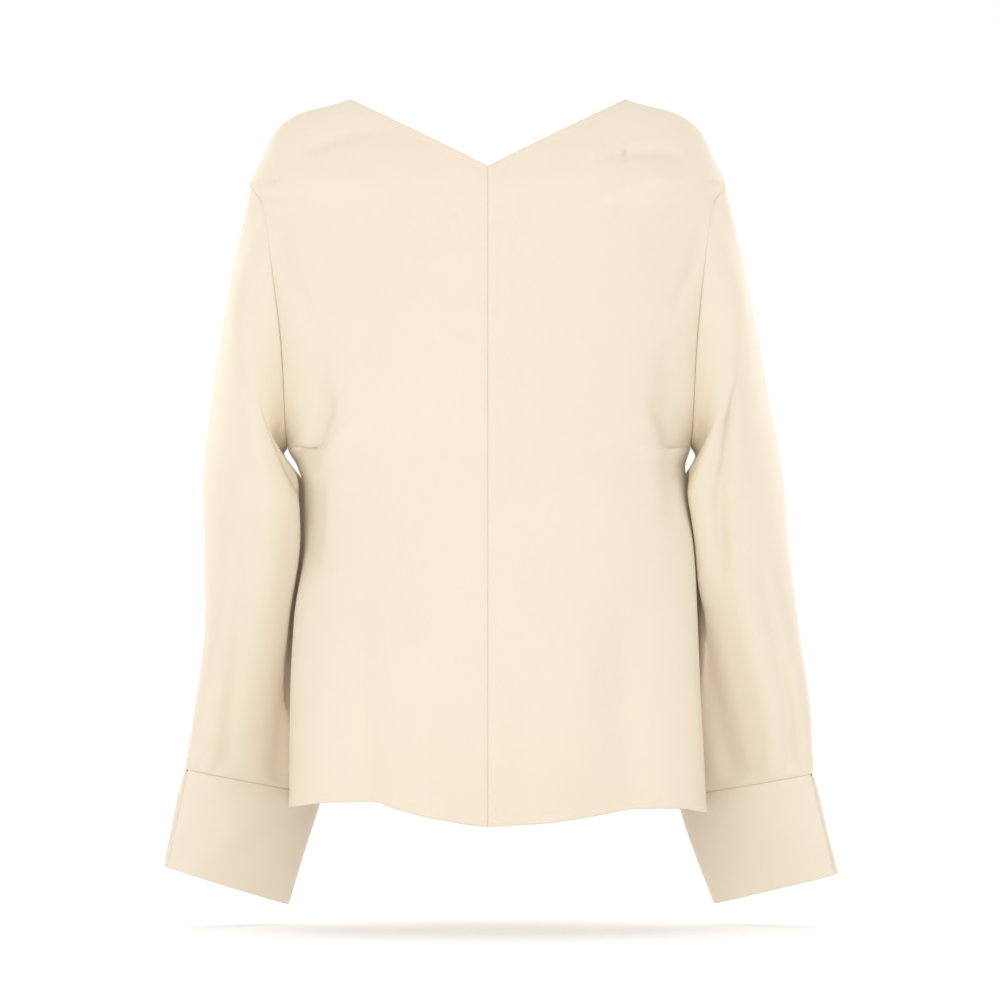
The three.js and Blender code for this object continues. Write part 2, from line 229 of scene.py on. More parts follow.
@dataclass
class Cloth:
    """A panel as a grid of points, with the ways along it that its finish needs."""

    grid: np.ndarray
    closed: bool = False

    def normals(self) -> np.ndarray:
        """Outward unit normals at each point of the grid."""
        g = self.grid
        if self.closed:
            ring = np.concatenate([g[:, -1:], g, g[:, :1]], axis=1)
            across = ring[:, 2:] - ring[:, :-2]
        else:
            across = np.gradient(g, axis=1)
        n = np.cross(across, np.gradient(g, axis=0))
        return n / np.maximum(np.linalg.norm(n, axis=2, keepdims=True), 1e-9)

    def lengths(self, axis: int) -> np.ndarray:
        """Length along the cloth from the first row (axis 0) or column (axis 1), at each point."""
        steps = np.linalg.norm(np.diff(self.grid, axis=axis), axis=2)
        zero = np.zeros_like(steps[:1] if axis == 0 else steps[:, :1])
        return np.concatenate([zero, np.cumsum(steps, axis=axis)], axis=axis)

    def moved(self, heights: np.ndarray) -> "Cloth":
        """The cloth with each point moved out along its normal by so many millimetres."""
        return Cloth(self.grid + self.normals() * heights[..., None], self.closed)

    def mesh(self, name: str, thick: float) -> bpy.types.Object:
        """The cloth as a thin solid shell.

        Args:
            name: The piece's name.
            thick: The shell's thickness in millimetres.

        Returns:
            The new object, with lengths along the cloth, in metres, as its UVs.
        """
        rows, width = self.grid.shape[:2]
        points = (self.grid.reshape(-1, 3) * MM).tolist()
        cells = width if self.closed else width - 1
        i, j = np.meshgrid(np.arange(rows - 1), np.arange(cells), indexing="ij")
        k = (j + 1) % width
        quads = np.stack([i * width + j, i * width + k, (i + 1) * width + k, (i + 1) * width + j], axis=-1)
        mesh = bpy.data.meshes.new(name)
        mesh.from_pydata(points, [], quads.reshape(-1, 4).tolist())
        up = self.lengths(0)
        middle = self.lengths(1)[rows // 2]
        step = middle[-1] / max(1, width - 1)
        u = np.append(middle, middle[-1] + step)[:width + 1]
        layer = mesh.uv_layers.new(name="cloth")
        uu = np.stack([u[j], u[j + 1], u[j + 1], u[j]], axis=-1)
        vv = np.stack([up[i, j], up[i, k], up[i + 1, k], up[i + 1, j]], axis=-1)
        layer.data.foreach_set("uv", (np.stack([uu, vv], axis=-1).reshape(-1) * MM).astype(np.float32))
        mesh.polygons.foreach_set("use_smooth", [True] * len(mesh.polygons))
        mesh.update()
        obj = bpy.data.objects.new(name, mesh)
        bpy.context.collection.objects.link(obj)
        shell = obj.modifiers.new("Cloth thickness", "SOLIDIFY")
        shell.thickness = thick * MM
        shell.offset = 0
        shell.use_even_offset = False
        return obj


# ---- The body ----


@dataclass
class Body:
    """The fronts and back: a torso's form by height, cut at the hem, neckline, shoulders and armholes."""

    underarm: float = -312.0
    tip: float = -76.0
    neck_half: float = 124.0
    neck_depth: dict[Face, float] = field(default_factory=lambda: {Face.FRONT: 63.5, Face.BACK: 60.0})
    neck_round: dict[Face, float] = field(default_factory=lambda: {Face.FRONT: 1.0, Face.BACK: 2.0})
    armhole: dict[Face, float] = field(default_factory=lambda: {Face.FRONT: 52.0, Face.BACK: 56.0})
    armhole_round: float = 1.3
    armhole_roll: float = 0.93
    section_round: float = 2.2
    thick: float = 0.8
    seam_dip: float = 1.0
    seam_width: float = 2.4
    hem_turn: float = 6.5
    neck_turn: float = 4.5
    hem_rows: tuple[float, ...] = (0, 1.2, 2.6, 4.2, 5.6, 6.2, 6.8, 7.6, 9.5, 12)
    skirt_rows: int = 68
    yoke_rows: int = 65
    neck_rows: tuple[float, ...] = (9, 7, 5.6, 4.8, 4.2, 3.4, 2.2, 1.0, 0)
    fine: int = 240
    sections: Table = field(
        default_factory=lambda: columns(
            "z right left front back seam",
            [
                (-660, 178, 197, 112, 92, -8),
                (-594, 178, 194, 112, 92, -8),
                (-540, 177.5, 191, 113, 92, -8),
                (-468, 174, 188, 115, 93, -8),
                (-396, 165, 185, 119, 95, -7),
                (-348, 166, 180, 122, 96, -6),
                (-330, 171, 177, 123, 96.5, -5.5),
                (-312, 180, 182, 124.5, 97, -5),
                (-225, 184, 186, 127, 99, -2),
                (-144, 194, 194, 108, 98, 0),
                (-110, 199, 199, 96, 92, 0),
                (-92, 203, 203, 89, 87, 0),
                (-76, 213, 213, 82, 81, 0),
                (-51, 202, 202, 67, 68, 0),
                (-31, 193, 193, 50, 51, 0),
                (-14, 173, 173, 33, 33, 0),
                (0, 124, 124, 14, 14, 0),
            ],
        )
    )
    hem: Table = field(
        default_factory=lambda: columns(
            "x front back",
            [
                (-180, -636, -636),
                (-142, -629, -633),
                (-106, -627.5, -630),
                (-79, -634, -634),
                (-43, -642.5, -638),
                (0, -648.5, -640),
                (47, -646, -637),
                (92, -640, -632),
                (137, -634, -631),
                (173, -635, -635),
                (196, -640, -640),
            ],
        )
    )
    folds: dict[Face, tuple[Fold, ...]] = field(
        default_factory=lambda: {
            Face.FRONT: (
                Fold((-150, -205), (-160, -400), 13, -7.0),
                Fold((158, -200), (168, -365), 12, -6.0),
                Fold((-112, -400), (-103, -650), 16, -6.5, bend=5),
                Fold((-62, -470), (-55, -650), 19, 4.0, bend=-4),
                Fold((122, -430), (134, -650), 17, -5.5, bend=6),
                Fold((70, -440), (79, -650), 23, 4.0),
                Fold((30, -520), (26, -650), 13, -2.4),
                Fold((-150, -500), (-148, -650), 12, 2.5),
                Fold((179, -52), (128, -50), 5.0, -4.0, start=0.3, bend=2, tail=0.9),
                Fold((182, -72), (112, -88), 7.5, 3.2, start=0.3, bend=3, tail=0.8),
                Fold((178, -96), (120, -104), 8, -2.0, start=0.3),
                Fold((-172, -52), (-110, -30), 7, -3.0, start=0.3, bend=-3),
                Fold((-176, -84), (-120, -78), 9, 1.8, start=0.3),
                Fold((-188, -110), (-160, -190), 8, -2.6, start=0.3, bend=4),
                Fold((190, -112), (170, -180), 7, -2.6, start=0.3, bend=-4),
                Fold((-172, -330), (-146, -284), 6, -6.0, start=0.2, tail=0.5),
                Fold((-166, -352), (-128, -300), 7, 3.4, start=0.2, tail=0.3),
                Fold((176, -318), (150, -278), 7, -3.2, start=0.2, tail=0.4),
                Fold((0, -72), (-22, -130), 8, -1.6, start=0.15),
                Fold((0, -72), (26, -140), 9, -1.2, start=0.15),
            ),
            Face.BACK: (
                Fold((-128, -180), (-132, -650), 17, -8.0, bend=6),
                Fold((-58, -300), (-50, -650), 21, -6.0, bend=-5),
                Fold((46, -260), (60, -650), 19, -7.0, bend=4),
                Fold((130, -190), (142, -650), 16, -7.0, bend=-6),
                Fold((-92, -420), (-90, -650), 15, 4.0),
                Fold((4, -430), (6, -650), 17, 4.0),
                Fold((98, -380), (104, -650), 14, 4.2),
                Fold((-176, -60), (-104, -86), 8, -2.6, start=0.3, bend=3),
                Fold((174, -56), (100, -78), 7, -3.0, start=0.3, bend=-3),
                Fold((-176, -318), (-140, -262), 9, -4.0, start=0.2, tail=0.4),
                Fold((178, -322), (144, -270), 8, -4.0, start=0.2, tail=0.4),
            ),
        }
    )

    @property
    def underarm_row(self) -> int:
        """The row of each panel that lies at the underarm, where the armhole starts."""
        return len(self.hem_rows) + self.skirt_rows - 1

    def edge_x(self, z: np.ndarray, side: Side) -> np.ndarray:
        """How far out the panels' edge lies at a height."""
        return read(self.sections, "z", z, side.word)

    def armhole_open(self, z: np.ndarray, out: np.ndarray) -> np.ndarray:
        """How open the armhole is, from 0 at its ends to 1 half way up, and softer away from the edge."""
        up = 2 * (z - self.underarm) / (self.tip - self.underarm) - 1
        inside = np.maximum(0, 1 - up * up)
        soft, sharp = inside**2, inside ** (self.armhole_round / 2)
        return soft + (sharp - soft) * out**14

    def edge_y(self, z: np.ndarray, face: Face, out: np.ndarray) -> np.ndarray:
        """How far back the panel's edge would lie, for points some way out (1 is at the edge itself)."""
        opened = self.armhole_open(z, out) * self.armhole[face] * face.value
        return read(self.sections, "z", z, "seam") + opened

    def point(self, across: np.ndarray, z: np.ndarray, side: Side, face: Face) -> np.ndarray:
        """Points of a panel.

        Args:
            across: Shares of the way from the middle (0) to the edge (1).
            z: Heights.
            side: The wearer's side.
            face: Front or back.

        Returns:
            A point for each.
        """
        edge = self.edge_x(z, side)
        tip = self.edge_x(np.array(self.tip), side)
        x = np.sin(across * math.pi / 2) * np.where(z > self.tip, tip, edge)
        middle = read(self.sections, "z", z, face.word) * face.value
        out = x / edge
        roll = 1 + (self.armhole_roll - 1) * self.armhole_open(z, out)

        def round_off(u: np.ndarray) -> np.ndarray:
            """The section's form, from 1 at its middle to 0 at its side."""
            return np.maximum(0, 1 - u**self.section_round) ** (1 / self.section_round)

        share = (round_off(roll * out) - round_off(roll)) / (1 - round_off(roll))
        edge_y = self.edge_y(z, face, out)
        y = edge_y + (middle - edge_y) * share
        return np.stack(np.broadcast_arrays(x * side.value, y, z), axis=-1)

    def top_z(self, across: float, face: Face) -> float:
        """The height where a column of a panel ends, at the neckline or past it at the shoulder seam."""
        x = math.sin(across * math.pi / 2) * float(self.edge_x(np.array(self.tip), Side.RIGHT))
        if x <= self.neck_half:
            return self.neck_depth[face] * ((x / self.neck_half) ** self.neck_round[face] - 1)
        low, high = self.tip, 0.0
        for _ in range(40):
            middle = (low + high) / 2
            if float(self.edge_x(np.array(middle), Side.RIGHT)) > x:
                low = middle
            else:
                high = middle
        return (low + high) / 2

    def half(self, side: Side, face: Face) -> Cloth:
        """Half of a panel, its rows from the hem up and its columns from the middle out to the edge."""
        neck = 2 / math.pi * math.asin(self.neck_half / float(self.edge_x(np.array(self.tip), side)))
        places = np.concatenate(
            [
                [0, 0.004, 0.009, 0.016],
                np.linspace(0.028, neck, 24)[:-1],
                np.linspace(neck, 0.975, 34),
                [0.982, 0.988, 0.993, 0.997, 1.0],
            ]
        )
        grid = []
        for across in places:
            x = float(self.point(across, np.array(-660.0), side, face)[0])
            hem = float(read(self.hem, "x", np.array(x), face.word))
            top = self.top_z(across, face)
            skirt = self.point(across, np.linspace(hem, self.underarm, self.fine), side, face)
            yoke = self.point(across, np.linspace(self.underarm, top, self.fine), side, face)
            long = np.linalg.norm(np.diff(skirt, axis=0), axis=1).sum()
            turn = np.array(self.hem_rows) / long
            skirt = spaced(skirt, np.concatenate([turn, np.linspace(16 / long, 1, self.skirt_rows)]))
            tall = np.linalg.norm(np.diff(yoke, axis=0), axis=1).sum()
            edge = 1 - np.array(self.neck_rows) / tall
            yoke = spaced(yoke, np.concatenate([np.linspace(0, 1 - 12 / tall, self.yoke_rows + 1)[1:], edge]))
            grid.append(np.concatenate([skirt, yoke]))
        return Cloth(np.array(grid).transpose(1, 0, 2))

    def heights(self, cloth: Cloth, face: Face) -> np.ndarray:
        """How far the folds, seams and turned edges move each point of half a panel out, in millimetres."""
        x, z = cloth.grid[..., 0], cloth.grid[..., 2]
        share = np.linspace(0, 1, x.shape[1])[None, :]
        sizes = cloth.lengths(1)
        from_side = sizes[:, -1:] - sizes
        from_hem = cloth.lengths(0)
        from_top = from_hem[-1:] - from_hem
        fade = smoothstep(sizes, 0, 30) * smoothstep(from_side, 0, 26) * smoothstep(from_top, 0, 14)
        total = sum(fold.height(x, z, (1, 1)) for fold in self.folds[face]) * fade
        seam = np.exp(-((from_side / self.seam_width) ** 2))
        if face is Face.FRONT:
            seam = np.maximum(seam, 0.75 * np.exp(-((sizes / self.seam_width) ** 2)))
        shoulder = smoothstep(np.abs(x), self.neck_half + 2, self.neck_half + 10)
        seam = np.maximum(seam, shoulder * np.exp(-((from_top / self.seam_width) ** 2)))
        total -= self.seam_dip * seam
        hem = 1 - smoothstep(from_hem, self.hem_turn - 0.5, self.hem_turn + 0.5)
        neck = (1 - shoulder) * (1 - smoothstep(from_top, self.neck_turn - 0.4, self.neck_turn + 0.4))
        drape = 1.2 * np.sin(x / 17 + 1.3 * face.value + share) * np.exp(-from_hem / 45) * fade
        return total + 0.45 * hem + 0.4 * neck + drape


# ---- Sleeves and cuffs ----

RING = "inX inY inZ outX outY outZ front back"


@dataclass
class Arm:
    """One sleeve, from the armhole down to the cuff's seam, and its cuff."""

    side: Side
    rings: Table
    end: Table
    body: Body
    clear: float = 4.6
    lap_step: float = 2.7
    lap_shows: float = 3.0
    lap_low: float = 0.03
    thick: float = 0.8
    cuff_thick: float = 1.5
    girth: float = 330.0
    length: float = 540.0
    gathers: int = 17
    folds: tuple[Fold, ...] = ()

    def ring(self, table: Table, k: int, turn: np.ndarray, inset: float = 0.0) -> np.ndarray:
        """Points round a ring of the sleeve.

        Args:
            table: Rings as rows.
            k: Which row.
            turn: Turns from 0 at the inner side, forwards round to 1.
            inset: How far in the ring's outer and front sides are drawn, in millimetres.

        Returns:
            A point for each turn.
        """
        row = {name: float(values[k]) for name, values in table.items()}
        inner = np.array([self.side.value * row["inX"], row["inY"], row["inZ"]])
        outer = np.array([self.side.value * (row["outX"] - inset), row["outY"], row["outZ"]])
        chord = (outer - inner) / np.linalg.norm(outer - inner)
        forwards = np.array([0, -1, 0]) + chord * chord[1]
        forwards /= np.linalg.norm(forwards)
        angle = turn * 2 * math.pi
        power = 2 / self.body.section_round
        along = (1 - signed_power(np.cos(angle), power)) / 2
        depth = signed_power(np.sin(angle), power) * np.where(turn < 0.5, row["front"] - inset, row["back"])
        return inner + along[:, None] * (outer - inner) + depth[:, None] * forwards

    def kept_clear(self, p: np.ndarray) -> np.ndarray:
        """The points moved straight out from the torso's middle where they are too near to it."""
        body = self.body
        seam = read(body.sections, "z", p[..., 2], "seam")
        behind = p[..., 1] >= seam
        depth = np.where(
            behind,
            read(body.sections, "z", p[..., 2], "back") - seam,
            read(body.sections, "z", p[..., 2], "front") + seam,
        )
        across = np.abs(p[..., 0]) / (body.edge_x(p[..., 2], self.side) + self.clear)
        back = np.abs(p[..., 1] - seam) / (depth + self.clear)
        power = body.section_round
        reach = np.minimum(1, (across**power + back**power) ** (1 / power))
        moved = p.copy()
        moved[..., 0] = p[..., 0] / reach
        moved[..., 1] = seam + (p[..., 1] - seam) / reach
        return moved

    def sleeve(self, armhole: np.ndarray) -> Cloth:
        """The sleeve, its rows from the armhole's own points down to the cuff's seam."""
        count = len(armhole)
        turn = np.arange(count) / count
        rings = np.array([armhole] + [self.ring(self.rings, k, turn) for k in range(len(self.rings["inX"]))])
        where = np.concatenate(
            [[0, 0.002, 0.005, 0.009, 0.014], np.linspace(0.02, 0.985, 130), [0.991, 0.995, 0.998, 1]]
        )
        grid = catmull_rom(rings, where)
        away = smoothstep(where, 0.05, 0.17)[:, None, None]
        below = smoothstep(self.body.underarm - grid[..., 2:], 2, 16)
        away = np.maximum(away, below)
        return Cloth(grid * (1 - away) + self.kept_clear(grid) * away, closed=True)

    def outward(self, cloth: Cloth) -> Cloth:
        """A closed tube whose normals point out, its first column still at the underarm."""
        if self.side is Side.RIGHT:
            return cloth
        return Cloth(np.roll(cloth.grid[:, ::-1], 1, axis=1), closed=True)

    def dressed(self, cloth: Cloth) -> Cloth:
        """The sleeve with its folds and with dips at its two seams."""
        rows, count = cloth.grid.shape[:2]
        turn = np.broadcast_to(np.arange(count) / count, (rows, count))
        turn = turn if self.side is Side.RIGHT else (1 - turn) % 1
        down = cloth.lengths(0)
        share = down / down[-1:]
        scale = (self.girth, self.length)
        total = sum(fold.height(turn + shift, share, scale) for fold in self.folds for shift in (-1, 0, 1))
        up = down[-1:] - down
        total = total * smoothstep(down, 0, 22) * smoothstep(up, 0, 16)
        gathers = 0.8 * np.sin(turn * 2 * math.pi * self.gathers + 2 * np.sin(turn * 12.6)) * np.exp(-up / 14)
        total += gathers * smoothstep(up, 0, 6)
        inner = np.minimum(turn, 1 - turn) * self.girth
        total -= 0.7 * np.exp(-((inner / 2.6) ** 2)) * smoothstep(down, 0, 20)
        for near in (down, up):
            total -= self.body.seam_dip * np.exp(-((near / self.body.seam_width) ** 2))
        return cloth.moved(total)

    def cuff(self, seam: np.ndarray) -> Cloth:
        """The cuff, a band from its front lap round the wrist and under itself, with pressed edges."""
        count = len(seam)
        fold = count // 2
        turn = np.arange(count) / count
        end = self.ring(self.end, 0, turn)
        order = (fold - np.arange(count)) % count
        tail = np.linspace(0, 0.1, 13)
        last = len(self.rings["inX"]) - 1
        top_under = self.ring(self.rings, last, 0.5 - tail, self.lap_step)
        end_under = self.ring(self.end, 0, 0.5 - tail, self.lap_step)
        rows = []
        shares = np.concatenate(
            [[0, 0.006, 0.015, 0.03], np.linspace(0.05, 0.95, 20), [0.97, 0.985, 0.994, 1]]
        )
        for share in shares:
            upper = (seam * (1 - share) + end * share)[order]
            along = np.concatenate([[0], np.cumsum(np.linalg.norm(np.diff(upper, axis=0), axis=1))])
            start = np.array([np.interp(self.lap_shows, along, upper[:, i]) for i in range(3)])
            keep = along > self.lap_shows + 0.5
            low = max(share, self.lap_low)
            under = top_under * (1 - low) + end_under * low
            rows.append(self.evened(np.concatenate([[start], upper[keep], under]), 170))
        return Cloth(np.array(rows))

    @staticmethod
    def evened(points: np.ndarray, count: int) -> np.ndarray:
        """The same line with so many points, evenly apart."""
        return spaced(points, np.linspace(0, 1, count))

    def cuff_heights(self, cloth: Cloth) -> np.ndarray:
        """How far the cuff's edges and its soft waves move it out, in millimetres."""
        down = cloth.lengths(0)
        up = down[-1:] - down
        across = cloth.lengths(1) / 40
        waves = 0.7 * np.sin(across * 2.1 + down / 46) + 0.4 * np.sin(across * 4.7 - down / 30)
        edges = np.exp(-((down / 2.2) ** 2)) + 0.5 * np.exp(-((up / 1.6) ** 2))
        return waves * smoothstep(down, 0, 30) * smoothstep(cloth.lengths(1), 0, 20) - 0.8 * edges


# ---- Finish ----


@dataclass(frozen=True)
class Silk:
    """Thin cream silk crepe: matt, with a soft sheen, a fine pebbled weave and light that passes through."""

    colour: tuple[float, float, float] = (0.948, 0.856, 0.708)
    shade: tuple[float, float, float] = (0.89, 0.795, 0.65)
    glow: tuple[float, float, float] = (0.98, 0.83, 0.62)
    through: float = 0.16
    roughness: float = 0.52
    weave_mm: float = 0.55
    grain_mm: float = 2.4

    def material(self) -> bpy.types.Material:
        """The finish as a node material."""
        material = bpy.data.materials.new("cream_silk_crepe")
        material.use_nodes = True
        tree = material.node_tree
        tree.nodes.clear()
        new = tree.nodes.new
        link = tree.links.new
        output = new("ShaderNodeOutputMaterial")
        mix = new("ShaderNodeMixShader")
        mix.inputs[0].default_value = self.through
        cloth = new("ShaderNodeBsdfPrincipled")
        cloth.inputs["Roughness"].default_value = self.roughness
        cloth.inputs["Specular IOR Level"].default_value = 0.32
        cloth.inputs["Sheen Weight"].default_value = 0.22
        cloth.inputs["Sheen Roughness"].default_value = 0.35
        cloth.inputs["Sheen Tint"].default_value = (1.0, 0.96, 0.88, 1)
        glow = new("ShaderNodeBsdfTranslucent")
        glow.inputs["Color"].default_value = (*self.glow, 1)
        place = new("ShaderNodeTexCoord")
        clouds = new("ShaderNodeTexNoise")
        clouds.inputs["Scale"].default_value = 7.0
        clouds.inputs["Detail"].default_value = 3.0
        threads = new("ShaderNodeTexNoise")
        threads.inputs["Scale"].default_value = 1 / (self.grain_mm * MM)
        threads.inputs["Detail"].default_value = 3.0
        weave = new("ShaderNodeTexVoronoi")
        weave.inputs["Scale"].default_value = 1 / (self.weave_mm * MM)
        tone = new("ShaderNodeMix")
        tone.data_type = "RGBA"
        tone.inputs[6].default_value = (*self.colour, 1)
        tone.inputs[7].default_value = (*self.shade, 1)
        soften = new("ShaderNodeMapRange")
        soften.inputs["From Min"].default_value = 0.42
        soften.inputs["From Max"].default_value = 0.85
        soften.inputs["To Max"].default_value = 0.6
        height = new("ShaderNodeMath")
        height.operation = "ADD"
        bump = new("ShaderNodeBump")
        bump.inputs["Strength"].default_value = 0.22
        bump.inputs["Distance"].default_value = 0.00035
        for texture in (clouds, threads):
            link(place.outputs["Object"], texture.inputs["Vector"])
        link(place.outputs["UV"], weave.inputs["Vector"])
        link(clouds.outputs["Fac"], soften.inputs["Value"])
        link(soften.outputs["Result"], tone.inputs[0])
        link(tone.outputs[2], cloth.inputs["Base Color"])
        link(threads.outputs["Fac"], height.inputs[0])
        link(weave.outputs["Distance"], height.inputs[1])
        link(height.outputs[0], bump.inputs["Height"])
        link(bump.outputs["Normal"], cloth.inputs["Normal"])
        link(cloth.outputs[0], mix.inputs[1])
        link(glow.outputs[0], mix.inputs[2])
        link(mix.outputs[0], output.inputs["Surface"])
        return material


# ---- The blouse ----


@dataclass
class Cut:
    """The flat size that a piece is cut to, in metres, and its area in square metres."""

    width: float
    length: float
    area: float


@dataclass
class Blouse:
    """All the pieces, sewn edge to edge."""

    body: Body = field(default_factory=Body)
    silk: Silk = field(default_factory=Silk)
    front_cut: Cut = field(default_factory=lambda: Cut(0.27, 0.66, 0.150))
    back_cut: Cut = field(default_factory=lambda: Cut(0.54, 0.66, 0.300))
    sleeve_cut: Cut = field(default_factory=lambda: Cut(0.50, 0.56, 0.155))
    cuff_cut: Cut = field(default_factory=lambda: Cut(0.275, 0.10, 0.0265))
    armhole_points: int = 65

    def arms(self) -> tuple[Arm, Arm]:
        """The right and the left arm of the blouse."""
        right = Arm(
            Side.RIGHT,
            columns(
                RING,
                [
                    (184, 12, -322, 233, 2, -172, 66, 66),
                    (168, 36, -342, 245, 2, -262, 71, 62),
                    (157, 45, -368, 251, 2, -338, 68, 58),
                    (150, 51, -422, 251, 2, -408, 55, 52),
                    (148, 57, -494, 252, 0, -478, 38, 38),
                    (150, 62, -564, 262, 2, -546, 26, 28),
                    (152, 64, -628, 272, 6, -603, 17, 18),
                ],
            ),
            columns(RING, [(182, 56, -727, 291, 4, -690, 13, 13)]),
            self.body,
            folds=(
                Fold((0.20, 0.10), (0.17, 0.48), 11, -4.0, bend=4),
                Fold((0.33, 0.20), (0.31, 0.62), 13, 3.0, bend=-5),
                Fold((0.13, 0.42), (0.20, 0.78), 10, -4.0, bend=3),
                Fold((0.40, 0.50), (0.33, 0.97), 10, -3.2, bend=4),
                Fold((0.24, 0.62), (0.22, 1.0), 9, -2.8),
                Fold((0.62, 0.15), (0.66, 0.60), 13, -4.0, bend=4),
                Fold((0.78, 0.30), (0.72, 0.85), 12, -4.0, bend=-4),
                Fold((0.56, 0.50), (0.60, 1.0), 10, -3.0),
                Fold((0.05, 0.02), (0.14, 0.16), 8, -3.0, start=0.2),
                Fold((0.93, 0.02), (0.84, 0.18), 8, -3.0, start=0.2),
            ),
        )
        left = Arm(
            Side.LEFT,
            columns(
                RING,
                [
                    (187, 12, -322, 235, 2, -172, 66, 66),
                    (176, 36, -342, 249, 2, -262, 71, 62),
                    (171, 45, -368, 259, 2, -338, 68, 58),
                    (168, 51, -422, 267, 2, -408, 55, 52),
                    (168, 57, -494, 277, 0, -478, 38, 38),
                    (170, 62, -564, 288, 2, -546, 26, 28),
                    (172, 64, -630, 292, 6, -607, 17, 18),
                ],
            ),
            columns(RING, [(206, 56, -726, 314, 4, -697, 13, 13)]),
            self.body,
            folds=(
                Fold((0.31, 0.20), (0.30, 0.52), 8, -7.5, start=0.3, bend=3),
                Fold((0.24, 0.16), (0.23, 0.55), 10, 3.2, bend=-3),
                Fold((0.17, 0.30), (0.20, 0.60), 9, -4.0),
                Fold((0.22, 0.55), (0.25, 1.0), 9, -5.0, bend=-4),
                Fold((0.32, 0.50), (0.34, 1.0), 11, 3.4),
                Fold((0.40, 0.56), (0.38, 1.0), 8, -4.2, bend=3),
                Fold((0.64, 0.12), (0.68, 0.62), 13, -4.0, bend=-4),
                Fold((0.77, 0.34), (0.71, 0.90), 12, -4.0, bend=4),
                Fold((0.57, 0.48), (0.61, 1.0), 10, -3.0),
                Fold((0.06, 0.02), (0.15, 0.18), 8, -3.0, start=0.2),
                Fold((0.92, 0.02), (0.85, 0.16), 8, -3.0, start=0.2),
            ),
        )
        return right, left

    def place(self, cloth: Cloth, name: str, thick: float, cut: Cut, material: bpy.types.Material) -> None:
        """Makes one piece of the blouse in place of its rough solid.

        Args:
            cloth: The piece's points.
            name: The name of the solid that it stands for.
            thick: Its thickness in millimetres.
            cut: Its flat size; not used.
            material: Its finish.
        """
        obj = cloth.mesh(f"silk_{name}", thick)
        obj.data.materials.append(material)
        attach(obj, "root")
        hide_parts(name)
        LOG.info("made %s with %d points", obj.name, cloth.grid.shape[0] * cloth.grid.shape[1])

    def build(self) -> None:
        """Makes every piece: fronts, back, sleeves and cuffs."""
        material = self.silk.material()
        halves = {(s, f): self.body.half(s, f) for s in Side for f in Face}
        flat = {key: cloth.grid for key, cloth in halves.items()}
        done = {
            (s, f): cloth.moved(self.body.heights(cloth, f) * -s.value * f.value)
            for (s, f), cloth in halves.items()
        }
        for side in Side:
            grid = done[side, Face.FRONT].grid
            grid = grid if side is Side.LEFT else grid[:, ::-1]
            self.place(Cloth(grid), f"front_{side.word}", self.body.thick, self.front_cut, material)
        right, left = done[Side.RIGHT, Face.BACK].grid, done[Side.LEFT, Face.BACK].grid
        back = Cloth(np.concatenate([left[:, ::-1], right[:, 1:]], axis=1))
        self.place(back, "back", self.body.thick, self.back_cut, material)
        first = self.body.underarm_row
        for arm in self.arms():
            rise = flat[arm.side, Face.FRONT][first:, -1]
            fall = flat[arm.side, Face.BACK][first:, -1][::-1]
            sleeve = arm.sleeve(np.concatenate([self.halved(rise), self.halved(fall)[1:-1]]))
            outward = arm.dressed(arm.outward(sleeve))
            self.place(outward, f"sleeve_{arm.side.word}", arm.thick, self.sleeve_cut, material)
            band = arm.cuff(sleeve.grid[-1]).grid
            cuff = Cloth(band if arm.side is Side.LEFT else band[:, ::-1])
            cuff = cuff.moved(arm.cuff_heights(cuff))
            self.place(cuff, f"cuff_{arm.side.word}", arm.cuff_thick, self.cuff_cut, material)

    def halved(self, points: np.ndarray) -> np.ndarray:
        """Half of the armhole's edge as so many points, evenly apart."""
        return spaced(points, np.linspace(0, 1, self.armhole_points))


# ---- The studio ----


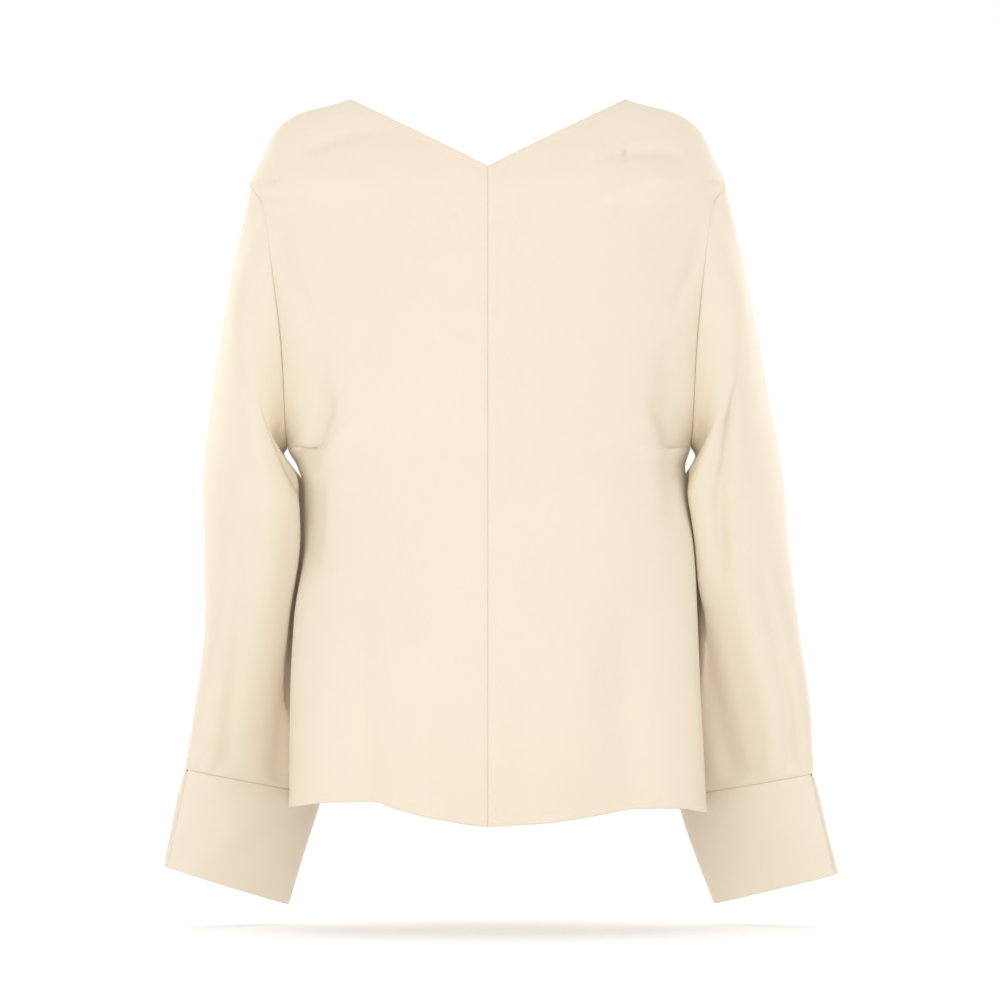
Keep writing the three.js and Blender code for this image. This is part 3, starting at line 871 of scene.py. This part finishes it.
@dataclass
class Studio:
    """A pale floor, soft lamps all round and a long lens at the height of the waist."""

    distance: float = 6.0
    view_width: float = 0.9
    centre: tuple[float, float] = (0.0108, -0.36)
    floor_z: float = -0.745
    floor_grey: float = 0.93
    floor_glow: float = 0.12
    floor_turns_white: tuple[float, float] = (0.35, 1.1)
    sky_strength: float = 0.94

    def camera(self) -> None:
        """A camera square to the front."""
        data = bpy.data.cameras.new("camera")
        data.sensor_width = 36
        data.lens = 36 * self.distance / self.view_width
        data.clip_end = 50
        camera = bpy.data.objects.new("camera", data)
        camera.location = (self.centre[0], -self.distance, self.centre[1])
        camera.rotation_euler = (math.pi / 2, 0, 0)
        bpy.context.collection.objects.link(camera)
        bpy.context.scene.camera = camera

    def lamp(self, name: str, place: tuple[float, float, float], size: float, power: float) -> None:
        """A soft square lamp that faces the middle of the blouse.

        Args:
            name: Its name.
            place: Where it stands.
            size: Its side in metres.
            power: Its power in watts.
        """
        data = bpy.data.lights.new(name, "AREA")
        data.size = size
        data.energy = power
        lamp = bpy.data.objects.new(name, data)
        lamp.location = place
        away = np.array(place) - np.array([0, 0, self.centre[1]])
        yaw = math.atan2(away[0], -away[1])
        lamp.rotation_euler = (math.pi / 2 - math.atan2(away[2], math.hypot(away[0], away[1])), 0, yaw)
        bpy.context.collection.objects.link(lamp)

    def floor(self) -> None:
        """A pale floor that keeps the soft shadow and turns white away from it."""
        middle = (0, 0, self.floor_z)
        bpy.ops.mesh.primitive_circle_add(vertices=96, radius=14, fill_type="NGON", location=middle)
        floor = bpy.context.object
        floor.name = "studio_floor"
        material = bpy.data.materials.new("studio_floor")
        material.use_nodes = True
        tree = material.node_tree
        tree.nodes.clear()
        new, link = tree.nodes.new, tree.links.new
        output, mix = new("ShaderNodeOutputMaterial"), new("ShaderNodeMixShader")
        matt, white = new("ShaderNodeBsdfDiffuse"), new("ShaderNodeEmission")
        both, lift = new("ShaderNodeAddShader"), new("ShaderNodeEmission")
        matt.inputs["Color"].default_value = (self.floor_grey, self.floor_grey, self.floor_grey, 1)
        path, place = new("ShaderNodeLightPath"), new("ShaderNodeTexCoord")
        reach, fade = new("ShaderNodeVectorMath"), new("ShaderNodeMapRange")
        seen, only = new("ShaderNodeMath"), new("ShaderNodeMath")
        reach.operation = "LENGTH"
        fade.inputs["From Min"].default_value = self.floor_turns_white[0]
        fade.inputs["From Max"].default_value = self.floor_turns_white[1]
        seen.operation, only.operation = "MAXIMUM", "MULTIPLY"
        link(place.outputs["Object"], reach.inputs[0])
        link(reach.outputs["Value"], fade.inputs["Value"])
        link(path.outputs["Is Camera Ray"], seen.inputs[0])
        link(path.outputs["Is Glossy Ray"], seen.inputs[1])
        link(seen.outputs[0], only.inputs[0])
        link(fade.outputs["Result"], only.inputs[1])
        dim = new("ShaderNodeMath")
        dim.operation = "MULTIPLY"
        dim.inputs[1].default_value = self.floor_glow
        link(seen.outputs[0], dim.inputs[0])
        link(dim.outputs[0], lift.inputs["Strength"])
        link(matt.outputs[0], both.inputs[0])
        link(lift.outputs[0], both.inputs[1])
        link(only.outputs[0], mix.inputs[0])
        link(both.outputs[0], mix.inputs[1])
        link(white.outputs[0], mix.inputs[2])
        link(mix.outputs[0], output.inputs["Surface"])
        floor.data.materials.append(material)

    def sky(self) -> None:
        """An even pale light from all round, white where it is seen."""
        world = bpy.data.worlds.new("studio")
        world.use_nodes = True
        tree = world.node_tree
        tree.nodes.clear()
        new, link = tree.nodes.new, tree.links.new
        output, mix = new("ShaderNodeOutputWorld"), new("ShaderNodeMixShader")
        light, white = new("ShaderNodeBackground"), new("ShaderNodeBackground")
        light.inputs["Color"].default_value = (1.0, 0.99, 0.975, 1)
        light.inputs["Strength"].default_value = self.sky_strength
        white.inputs["Color"].default_value = (1, 1, 1, 1)
        path, seen, also = new("ShaderNodeLightPath"), new("ShaderNodeMath"), new("ShaderNodeMath")
        seen.operation = also.operation = "MAXIMUM"
        link(path.outputs["Is Camera Ray"], seen.inputs[0])
        link(path.outputs["Is Glossy Ray"], seen.inputs[1])
        link(seen.outputs[0], also.inputs[0])
        link(path.outputs["Is Transmission Ray"], also.inputs[1])
        link(also.outputs[0], mix.inputs[0])
        link(light.outputs[0], mix.inputs[1])
        link(white.outputs[0], mix.inputs[2])
        link(mix.outputs[0], output.inputs["Surface"])
        bpy.context.scene.world = world

    def build(self) -> None:
        """Sets up the camera, the floor and the light."""
        bpy.context.scene.view_settings.view_transform = "Standard"
        self.camera()
        self.floor()
        self.sky()
        self.lamp("key", (-1.3, -2.6, -0.1), 1.8, 14)
        self.lamp("fill", (1.6, -2.4, -0.35), 1.8, 8)
        self.lamp("back_left", (-1.8, 1.8, 0.3), 1.6, 16)
        self.lamp("back_right", (1.8, 1.8, 0.3), 1.6, 16)


def main() -> None:
    """Loads the frame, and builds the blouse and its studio."""
    logging.basicConfig(level=logging.INFO, format="%(name)s: %(message)s")
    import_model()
    Blouse().build()
    Studio().build()


if __name__ == "__main__":
    main()
